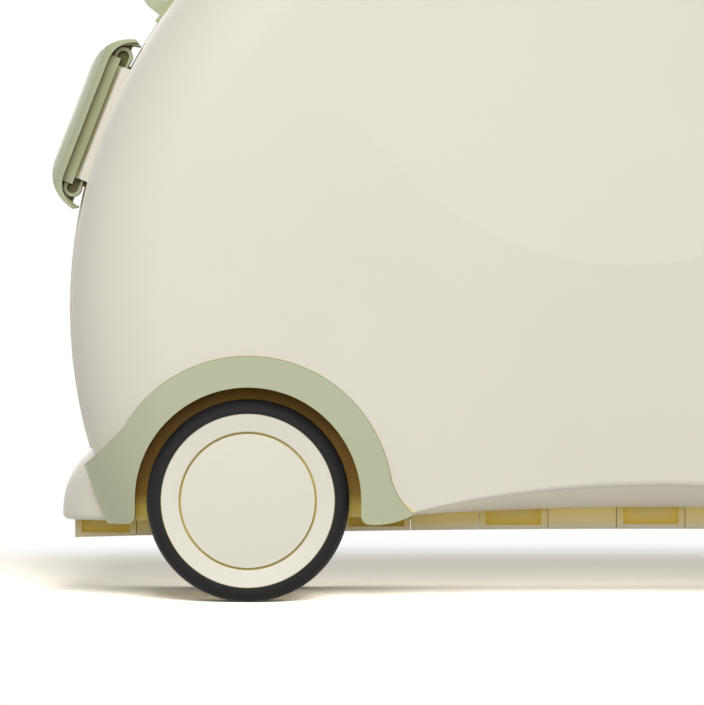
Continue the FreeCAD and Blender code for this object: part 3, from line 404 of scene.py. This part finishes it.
def tyre_rubber(name, base):
    """Matt rubber with fine specks, a little dust, and faint rings turned round the axle."""
    sizes = settings().sizes
    finish = Finish(name, Specular_IOR_Level=0.15)
    specks = finish.noise(sizes.rubber_grain, detail=3.0)
    dust = finish.noise(sizes.sheen_patch, detail=5.0)
    speckled = finish.tones(specks, base, darkest=0.8, lightest=1.25)
    dusty = finish.flecked(speckled, dust, begin=0.45, full=0.8, most=0.12, over=toned(base, 3.0))
    finish.set("Base Color", dusty)
    finish.rough(dust, smoothest=0.56, roughest=0.68)
    ringed = finish.bump(finish.waves(finish.from_axle(), sizes.tread_ring), sizes.grain_depth)
    finish.set("Normal", finish.bump(specks, sizes.rubber_depth, ringed))
    return finish.material


def soft_rubber(name, base):
    """Soft seal rubber, matt and a little uneven."""
    sizes = settings().sizes
    finish = Finish(name, Specular_IOR_Level=0.25)
    specks = finish.noise(sizes.rubber_grain, detail=3.0)
    finish.set("Base Color", finish.tones(specks, base, darkest=0.85, lightest=1.1))
    finish.rough(specks, smoothest=0.6, roughest=0.75)
    finish.set("Normal", finish.bump(specks, sizes.rubber_depth))
    return finish.material


def plated_steel(name, base):
    """Zinc-plated steel with cloudy plating and fine scratches."""
    sizes = settings().sizes
    finish = Finish(name, Metallic=1.0)
    stretched = finish.mapped(Scale=(1 / sizes.scratch_stretch, 1.0, 1.0))
    scratches = finish.noise(sizes.plating_scratch, detail=3.0, place=stretched)
    cloud = finish.noise(sizes.plating_cloud, detail=4.0)
    finish.set("Base Color", finish.tones(cloud, base, darkest=0.86, lightest=1.05))
    finish.rough(scratches, smoothest=0.26, roughest=0.42)
    finish.set("Normal", finish.bump(scratches, sizes.grain_depth))
    return finish.material


def woven(name, base):
    """Webbing: slanted ribs that meet in a chevron down the middle, finer yarns and loose fibres, with
    painted shade in the troughs and painted light on the crests.
    """
    sizes = settings().sizes
    yarn_height = 0.6
    crest = 1.4
    finish = Finish(name, Specular_IOR_Level=0.2, Sheen_Weight=0.25, Sheen_Roughness=0.5)
    parts = finish.parts(finish.add("ShaderNodeUVMap", uv_map="weave").outputs["UV"])
    slant = finish.maths("ADD", parts["X"], finish.maths("ABSOLUTE", parts["Y"]))
    ribs = finish.waves(slant, sizes.weave)
    yarns = finish.waves(parts["Y"], sizes.weave / 2)
    height = finish.maths("ADD", ribs, finish.maths("MULTIPLY", yarns, yarn_height))
    # The colour follows the ribs' height: darker in the troughs as painted shade, lighter on the crests as
    # painted light
    rib_shaded = finish.tones(finish.ranged(height, -crest, crest), base, darkest=0.62, lightest=1.1)
    fibres = finish.noise(sizes.fibre)
    fuzzy = finish.flecked(rib_shaded, fibres, begin=0.4, full=0.8, most=0.3, over=toned(base, 1.35))
    finish.set("Base Color", fuzzy)
    finish.rough(fibres, smoothest=0.7, roughest=0.9, low=0.2, high=0.8)
    raised = finish.bump(height, sizes.rib_depth)
    finish.set("Normal", finish.bump(fibres, sizes.fibre_depth, raised))
    return finish.material


def twisted_thread(name, base):
    """Sewing thread with slanted twist lines."""
    sizes = settings().sizes
    finish = Finish(name, Specular_IOR_Level=0.2, Sheen_Weight=0.3)
    slanted = finish.mapped(Rotation=(0.0, sizes.twist_slope, 0.0))
    lines = {"Vector": slanted, "Scale": 1 / sizes.thread_width}
    twist = finish.add("ShaderNodeTexWave", lines).outputs["Fac"]
    finish.set("Base Color", finish.tones(twist, base, darkest=0.75, lightest=1.05))
    finish.rough(twist, smoothest=0.6, roughest=0.8, low=0.0, high=1.0)
    finish.set("Normal", finish.bump(twist, sizes.twist_depth))
    return finish.material


def dress(material, *names):
    """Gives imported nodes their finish."""
    for name in names:
        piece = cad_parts[name]
        if not piece.material_slots:
            piece.data.materials.append(material)
        for slot in piece.material_slots:
            slot.material = material


def at_corners(part):
    """Names of the four pieces of a kind, one for each wheel."""
    return [corner + part for corner in CORNERS]


# Straps
def strap_tilt(node):
    """The strap's slope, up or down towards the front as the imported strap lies."""
    spots = [vertex.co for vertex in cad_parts[node].data.vertices]
    front = max(spots, key=lambda spot: spot.x)
    rear = min(spots, key=lambda spot: spot.x)
    return math.copysign(settings().sizes.strap_tilt, front.z - rear.z)


def strap_ends(node, tilt):
    """Middle of a packed strap, and how far its square-cut webbing reaches to each end."""
    low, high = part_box(node)
    direction = Vector((math.cos(tilt), 0, math.sin(tilt)))
    rise = Vector((-math.sin(tilt), 0, math.cos(tilt)))
    middle = Vector((0, (low.y + high.y) / 2, (low.z + high.z) / 2))
    spots = [vertex.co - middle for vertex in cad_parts[node].data.vertices]
    edges = [[spot.dot(direction) for spot in spots if spot.dot(rise) * side > 0] for side in (-1, 1)]
    return middle, max(min(edge) for edge in edges), min(max(edge) for edge in edges)


def strip(mesh, start, end, width, lift):
    """A flat run of webbing along X at a height, with its weave map in metres."""
    rows = settings().sizes.strap_rows
    columns = max(2, round((end - start) / width * rows))
    made = bmesh.ops.create_grid(mesh, x_segments=columns, y_segments=rows, size=0.5)["verts"]
    bmesh.ops.scale(mesh, verts=made, vec=(end - start, width, 1))
    bmesh.ops.translate(mesh, verts=made, vec=((start + end) / 2, 0, lift))
    weave = mesh.loops.layers.uv.verify()
    for face in {face for vertex in made for face in vertex.link_faces}:
        for loop in face.loops:
            loop[weave].uv = loop.vert.co.xy


def stitches(mesh, corners, lift):
    """A row of thread stitches along straight lines between corners."""
    sizes = settings().sizes
    pitch = sizes.stitch + sizes.stitch_gap
    size = Matrix.Diagonal((sizes.stitch / 2, sizes.thread_width / 2, sizes.thread_width / 2, 1))
    for start, end in zip(corners, corners[1:]):
        run = end - start
        count = max(1, round(run.length / pitch))
        turn = Matrix.Rotation(math.atan2(run.y, run.x), 4, "Z")
        for index in range(count):
            spot = start + run * ((index + 0.5) / count)
            place = Matrix.Translation((spot.x, spot.y, lift)) @ turn @ size
            bmesh.ops.create_uvsphere(mesh, u_segments=6, v_segments=4, radius=1.0, matrix=place)


def crossed_box(mesh, rear, front, reach, lift):
    """Stitches round a box and from corner to corner."""
    box = [Vector((rear, -reach)), Vector((front, -reach)), Vector((front, reach)), Vector((rear, reach))]
    for line in (box + box[:1], [box[0], box[2]], [box[1], box[3]]):
        stitches(mesh, line, lift)


def piece_from(mesh, name, material, body):
    """An object made from a bmesh, with its finish, riding on a body."""
    data = bpy.data.meshes.new(name)
    mesh.to_mesh(data)
    mesh.free()
    piece = bpy.data.objects.new(name, data)
    bpy.context.scene.collection.objects.link(piece)
    data.materials.append(material)
    for face in data.polygons:
        face.use_smooth = True
    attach(piece, body)
    return piece


def webbing_strap(node, fabric, thread):
    """One packing strap with its ends folded back and sewn with a crossed box."""
    sizes = settings().sizes
    tilt = strap_tilt(node)
    middle, start, end = strap_ends(node, tilt)
    low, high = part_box(node)
    rise = (end - start) * abs(math.sin(tilt))
    width = min((high.z - low.z - rise) / math.cos(tilt), sizes.strap_width)
    on_edge = Matrix.Rotation(math.radians(90), 4, "X")
    place = Matrix.Translation(middle) @ Matrix.Rotation(-tilt, 4, "Y") @ on_edge

    band = bmesh.new()
    sewing = bmesh.new()
    strip(band, start, end, width, 0.0)
    hem_lift = sizes.strap_wall * sizes.hem_lift
    sewing_lift = hem_lift + sizes.strap_wall / 2
    margin = width * sizes.sewing_margin
    for rear, front in ((start, start + sizes.strap_hem), (end - sizes.strap_hem, end)):
        strip(band, rear, front, width, hem_lift)
        crossed_box(sewing, rear + margin, front - margin, width / 2 - margin, sewing_lift)
    for mesh in (band, sewing):
        bmesh.ops.transform(mesh, matrix=place, verts=mesh.verts)

    strap = piece_from(band, node + "_webbing", fabric, "left_half")
    wall = strap.modifiers.new("Webbing", "SOLIDIFY")
    wall.thickness = sizes.strap_wall
    wall.offset = 0.0
    sewn = piece_from(sewing, node + "_stitching", thread, "left_half")
    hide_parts(node)


# Studio
def way_to(turn, height):
    """Direction at a turn from the case's right side to its front, and at an angle above the floor."""
    return Vector((math.sin(turn) * math.cos(height), -math.cos(turn) * math.cos(height), math.sin(height)))


def aim(studio):
    """Point of the near side at the middle of the picture."""
    return Vector((studio.aim_x, studio.near_side, studio.aim_z))


def add_lamp(name, kind, towards, strength):
    """A lamp that shines from a direction."""
    lamp = bpy.data.objects.new(name, bpy.data.lights.new(name, kind))
    lamp.data.energy = strength
    lamp.rotation_euler = (-towards).to_track_quat("-Z", "Y").to_euler()
    bpy.context.scene.collection.objects.link(lamp)
    return lamp


def key_lamp(studio):
    """A square soft lamp in front of the near side."""
    towards = way_to(studio.key_turn, studio.key_height)
    lamp = add_lamp("key_lamp", "AREA", towards, studio.key_lamp)
    lamp.data.size = studio.key_size
    lamp.location = aim(studio) + towards * studio.key_distance
    return lamp


def far_lamp(name, turn, height, softness, strength):
    """A soft lamp far off, with its place and softness in degrees."""
    lamp = add_lamp(name, "SUN", way_to(math.radians(turn), math.radians(height)), strength)
    lamp.data.angle = math.radians(softness)
    return lamp


def link_floor(lamp, floor, state):
    """Lets a lamp light the floor alone (INCLUDE) or all but the floor (EXCLUDE)."""
    linked = bpy.data.collections.new(lamp.name + "_floor")
    linked.objects.link(floor)
    linked.collection_objects[0].light_linking.link_state = state
    lamp.light_linking.receiver_collection = linked


def white_room(strength):
    """World that looks white and lights the case evenly."""
    world = bpy.data.worlds.new("studio_room")
    world.use_nodes = True
    bpy.context.scene.world = world
    nodes = Nodes(world.node_tree)
    light = nodes.tree.nodes["Background"]
    light.inputs["Color"].default_value = WHITE
    light.inputs["Strength"].default_value = strength
    look = nodes.add("ShaderNodeBackground", {"Color": WHITE})
    shader = nodes.either(nodes.seen(), light.outputs["Background"], look.outputs["Background"])
    nodes.end("World Output", "Surface", shader)


def floor_finish(studio):
    """Matt floor that takes the case's shadow, looks paler than it lights, and fades into white."""
    material = bpy.data.materials.new("studio_floor")
    material.use_nodes = True
    nodes = Nodes(material.node_tree)
    nodes.tree.nodes.remove(nodes.tree.nodes["Principled BSDF"])
    seen = nodes.seen()
    pale = tuple(studio.floor_look * part for part in studio.floor_tint) + (1.0,)
    light = nodes.add("ShaderNodeBsdfDiffuse", {"Color": (studio.floor_white,) * 3 + (1.0,)})
    look = nodes.add("ShaderNodeBsdfDiffuse", {"Color": pale})
    matt = nodes.either(seen, light.outputs["BSDF"], look.outputs["BSDF"])
    place = nodes.add("ShaderNodeTexCoord").outputs["Object"]
    far = nodes.add("ShaderNodeVectorMath", {0: place}, operation="LENGTH").outputs["Value"]
    fade = nodes.ranged(far, studio.floor_fade / 2, studio.floor_fade, interpolation_type="SMOOTHSTEP")
    white = nodes.add("ShaderNodeEmission").outputs["Emission"]
    nodes.end("Material Output", "Surface", nodes.either(nodes.maths("MULTIPLY", fade, seen), matt, white))
    return material


def pale_floor(studio):
    """Round floor of the stage."""
    mesh = bmesh.new()
    bmesh.ops.create_circle(mesh, cap_ends=True, segments=96, radius=studio.floor_radius)
    data = bpy.data.meshes.new("studio_floor")
    mesh.to_mesh(data)
    mesh.free()
    data.materials.append(floor_finish(studio))
    floor = bpy.data.objects.new("studio_floor", data)
    bpy.context.scene.collection.objects.link(floor)
    return floor


def sink_floor(floor, *names):
    """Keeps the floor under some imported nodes, as the case is held up when its left half swings down."""
    nodes = Nodes(bpy.data.node_groups.new("floor_sink", "GeometryNodeTree"))
    for way in ("INPUT", "OUTPUT"):
        nodes.tree.interface.new_socket("Geometry", in_out=way, socket_type="NodeSocketGeometry")
    joined = nodes.add("GeometryNodeJoinGeometry")
    for name in names:
        packed = {"Object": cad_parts[name]}
        half = nodes.add("GeometryNodeObjectInfo", packed, transform_space="RELATIVE")
        nodes.tree.links.new(half.outputs["Geometry"], joined.inputs["Geometry"])
    box = nodes.add("GeometryNodeBoundBox", {"Geometry": joined.outputs["Geometry"]})
    lowest = nodes.maths("MINIMUM", nodes.parts(box.outputs["Min"])["Z"], 0.0)
    shift = nodes.add("ShaderNodeCombineXYZ", {"Z": lowest}).outputs["Vector"]
    flat = nodes.add("NodeGroupInput").outputs["Geometry"]
    sunk = nodes.add("GeometryNodeTransform", {"Geometry": flat, "Translation": shift})
    nodes.add("NodeGroupOutput", {"Geometry": sunk.outputs["Geometry"]})
    floor.modifiers.new("Sink", "NODES").node_group = nodes.tree


def photo_camera(studio):
    """Camera at the picture's viewing angle."""
    camera = bpy.data.objects.new("studio_camera", bpy.data.cameras.new("studio_camera"))
    back = way_to(studio.camera_turn, 0.0)
    camera.location = aim(studio) + back * studio.camera_distance
    camera.rotation_euler = (-back).to_track_quat("-Z", "Y").to_euler()
    long_side = studio.view_width * max(PICTURE_WIDTH, PICTURE_HEIGHT) / PICTURE_WIDTH
    camera.data.lens = camera.data.sensor_width * studio.camera_distance / long_side
    bpy.context.scene.collection.objects.link(camera)
    bpy.context.scene.camera = camera


# Operators
class SUITCASE_OT_shells(Operator):
    """Finish the two moulded halves of the case and their keepers"""

    bl_idname = "suitcase.shells"
    bl_label = "Finish shells"

    def execute(self, context):
        colours = settings().colours
        gloss = settings().gloss
        sizes = settings().sizes
        # Painted warm and dark shade for the shells' gaps and hollows
        gaps = (colours.shell_gap_shade, colours.shell_deep_shade)
        inner = colours.inner_shade_share
        cream = moulded("shell_cream", colours.shell, *gaps, sizes.gap_shade_reach, gloss.shell, inner)
        # Painted warm shade for the keepers' narrow gaps
        gaps = (colours.shell_gap_shade, colours.shell_gap_shade)
        small = moulded("keeper_cream", colours.shell, *gaps, sizes.groove_shade_reach, gloss.shell)
        dress(cream, "right_shell", "left_shell")
        dress(small, "rear_keeper", "front_keeper")
        return {"FINISHED"}


class SUITCASE_OT_trim(Operator):
    """Finish the fenders, grips, carry handles and tow eyes"""

    bl_idname = "suitcase.trim"
    bl_label = "Finish sage trim"

    def execute(self, context):
        colours = settings().colours
        # Painted warm and dark shade for the trim's gaps and hollows
        gaps = (colours.trim_gap_shade, colours.trim_deep_shade)
        reach = settings().sizes.gap_shade_reach
        sage = moulded("trim_sage", colours.trim, *gaps, reach, settings().gloss.trim)
        dress(sage, *at_corners("_fender"), "right_grip", "left_grip", "right_handle", "left_handle")
        dress(sage, "rear_tow_eye", "front_tow_eye")
        return {"FINISHED"}


class SUITCASE_OT_catches(Operator):
    """Finish the two end catches"""

    bl_idname = "suitcase.catches"
    bl_label = "Finish catches"

    def execute(self, context):
        colours = settings().colours
        # Painted olive shade for the catches' recesses and hollows
        gaps = (colours.catch_gap_shade, colours.catch_deep_shade)
        reach = settings().sizes.hollow_shade_reach
        sage = moulded("catch_sage", colours.catch, *gaps, reach, settings().gloss.trim)
        dress(sage, "rear_catch", "front_catch")
        return {"FINISHED"}


class SUITCASE_OT_wheels(Operator):
    """Finish the tyres, rims and caps of the four wheels"""

    bl_idname = "suitcase.wheels"
    bl_label = "Finish wheels"

    def execute(self, context):
        colours = settings().colours
        gloss = settings().gloss
        reach = settings().sizes.groove_shade_reach
        # Painted shade for the groove between ring and cap
        gaps = (colours.wheel_groove_shade, colours.wheel_groove_shade)
        dress(tyre_rubber("tyre_black", colours.tyre), *at_corners("_tyre"))
        dress(moulded("rim_white", colours.rim, *gaps, reach, gloss.rim), *at_corners("_rim"))
        dress(moulded("cap_cream", colours.cap, *gaps, reach, gloss.cap), *at_corners("_cap"))
        return {"FINISHED"}


class SUITCASE_OT_metal(Operator):
    """Finish the steel pins, axles, retainers and screws"""

    bl_idname = "suitcase.metal"
    bl_label = "Finish steel pieces"

    def execute(self, context):
        steel = plated_steel("steel", settings().colours.steel)
        dress(steel, *at_corners("_axle"), *at_corners("_retainer"), "hinge_pin")
        dress(steel, "rear_catch_pin", "front_catch_pin", "right_handle_pins", "left_handle_pins")
        dress(steel, "right_fender_screws", "left_fender_screws")
        return {"FINISHED"}


class SUITCASE_OT_seal(Operator):
    """Finish the seam's rubber seal"""

    bl_idname = "suitcase.seal"
    bl_label = "Finish seal"

    def execute(self, context):
        dress(soft_rubber("seal_rubber", settings().colours.seal), "seam_seal")
        return {"FINISHED"}


class SUITCASE_OT_straps(Operator):
    """Weave the crossed packing straps and finish their buckle"""

    bl_idname = "suitcase.straps"
    bl_label = "Make packing straps"

    def execute(self, context):
        colours = settings().colours
        fabric = woven("strap_webbing", colours.webbing)
        thread = twisted_thread("strap_thread", colours.thread)
        for node in ("packing_strap_rising", "packing_strap_falling"):
            webbing_strap(node, fabric, thread)
        plain = (colours.buckle, colours.buckle, colours.buckle)
        reach = settings().sizes.groove_shade_reach
        dress(moulded("buckle_plastic", *plain, reach, settings().gloss.buckle), "strap_buckle")
        return {"FINISHED"}


class SUITCASE_OT_studio(Operator):
    """Set up the floor, the soft lamps and the camera"""

    bl_idname = "suitcase.studio"
    bl_label = "Set up studio"

    def execute(self, context):
        studio = settings().studio
        context.scene.view_settings.view_transform = "Standard"
        white_room(studio.room)
        floor = pale_floor(studio)
        sink_floor(floor, "left_shell", "left_grip")
        link_floor(key_lamp(studio), floor, "EXCLUDE")
        for name, (turn, height, softness, state) in FAR_LAMPS.items():
            lamp = far_lamp(name, turn, height, softness, getattr(studio, name))
            if state:
                link_floor(lamp, floor, state)
        photo_camera(studio)
        return {"FINISHED"}


OPERATORS = (
    SUITCASE_OT_shells,
    SUITCASE_OT_trim,
    SUITCASE_OT_catches,
    SUITCASE_OT_wheels,
    SUITCASE_OT_metal,
    SUITCASE_OT_seal,
    SUITCASE_OT_straps,
    SUITCASE_OT_studio,
)


class SUITCASE_PT_panel(Panel):
    """Sidebar panel with the suitcase's steps and settings"""

    bl_idname = "SUITCASE_PT_panel"
    bl_label = "Ride-on suitcase"
    bl_space_type = "VIEW_3D"
    bl_region_type = "UI"
    bl_category = "Suitcase"

    def draw(self, context):
        layout = self.layout
        for operator in OPERATORS:
            layout.operator(operator.bl_idname)
        for group in (settings().colours, settings().gloss, settings().sizes, settings().studio):
            column = layout.column()
            for name in group.__annotations__:
                column.prop(group, name)


GROUPS = (SuitcaseColours, SuitcaseGloss, SuitcaseSizes, SuitcaseStudio, SuitcaseSettings)
CLASSES = (*GROUPS, *OPERATORS, SUITCASE_PT_panel)


def register():
    for made in CLASSES:
        bpy.utils.register_class(made)
    bpy.types.Scene.suitcase = PointerProperty(type=SuitcaseSettings)


def unregister():
    del bpy.types.Scene.suitcase
    for made in reversed(CLASSES):
        bpy.utils.unregister_class(made)


def main():
    register()
    bpy.ops.suitcase.shells()
    bpy.ops.suitcase.trim()
    bpy.ops.suitcase.catches()
    bpy.ops.suitcase.wheels()
    bpy.ops.suitcase.metal()
    bpy.ops.suitcase.seal()
    bpy.ops.suitcase.straps()
    bpy.ops.suitcase.studio()


if __name__ == "__main__":
    main()
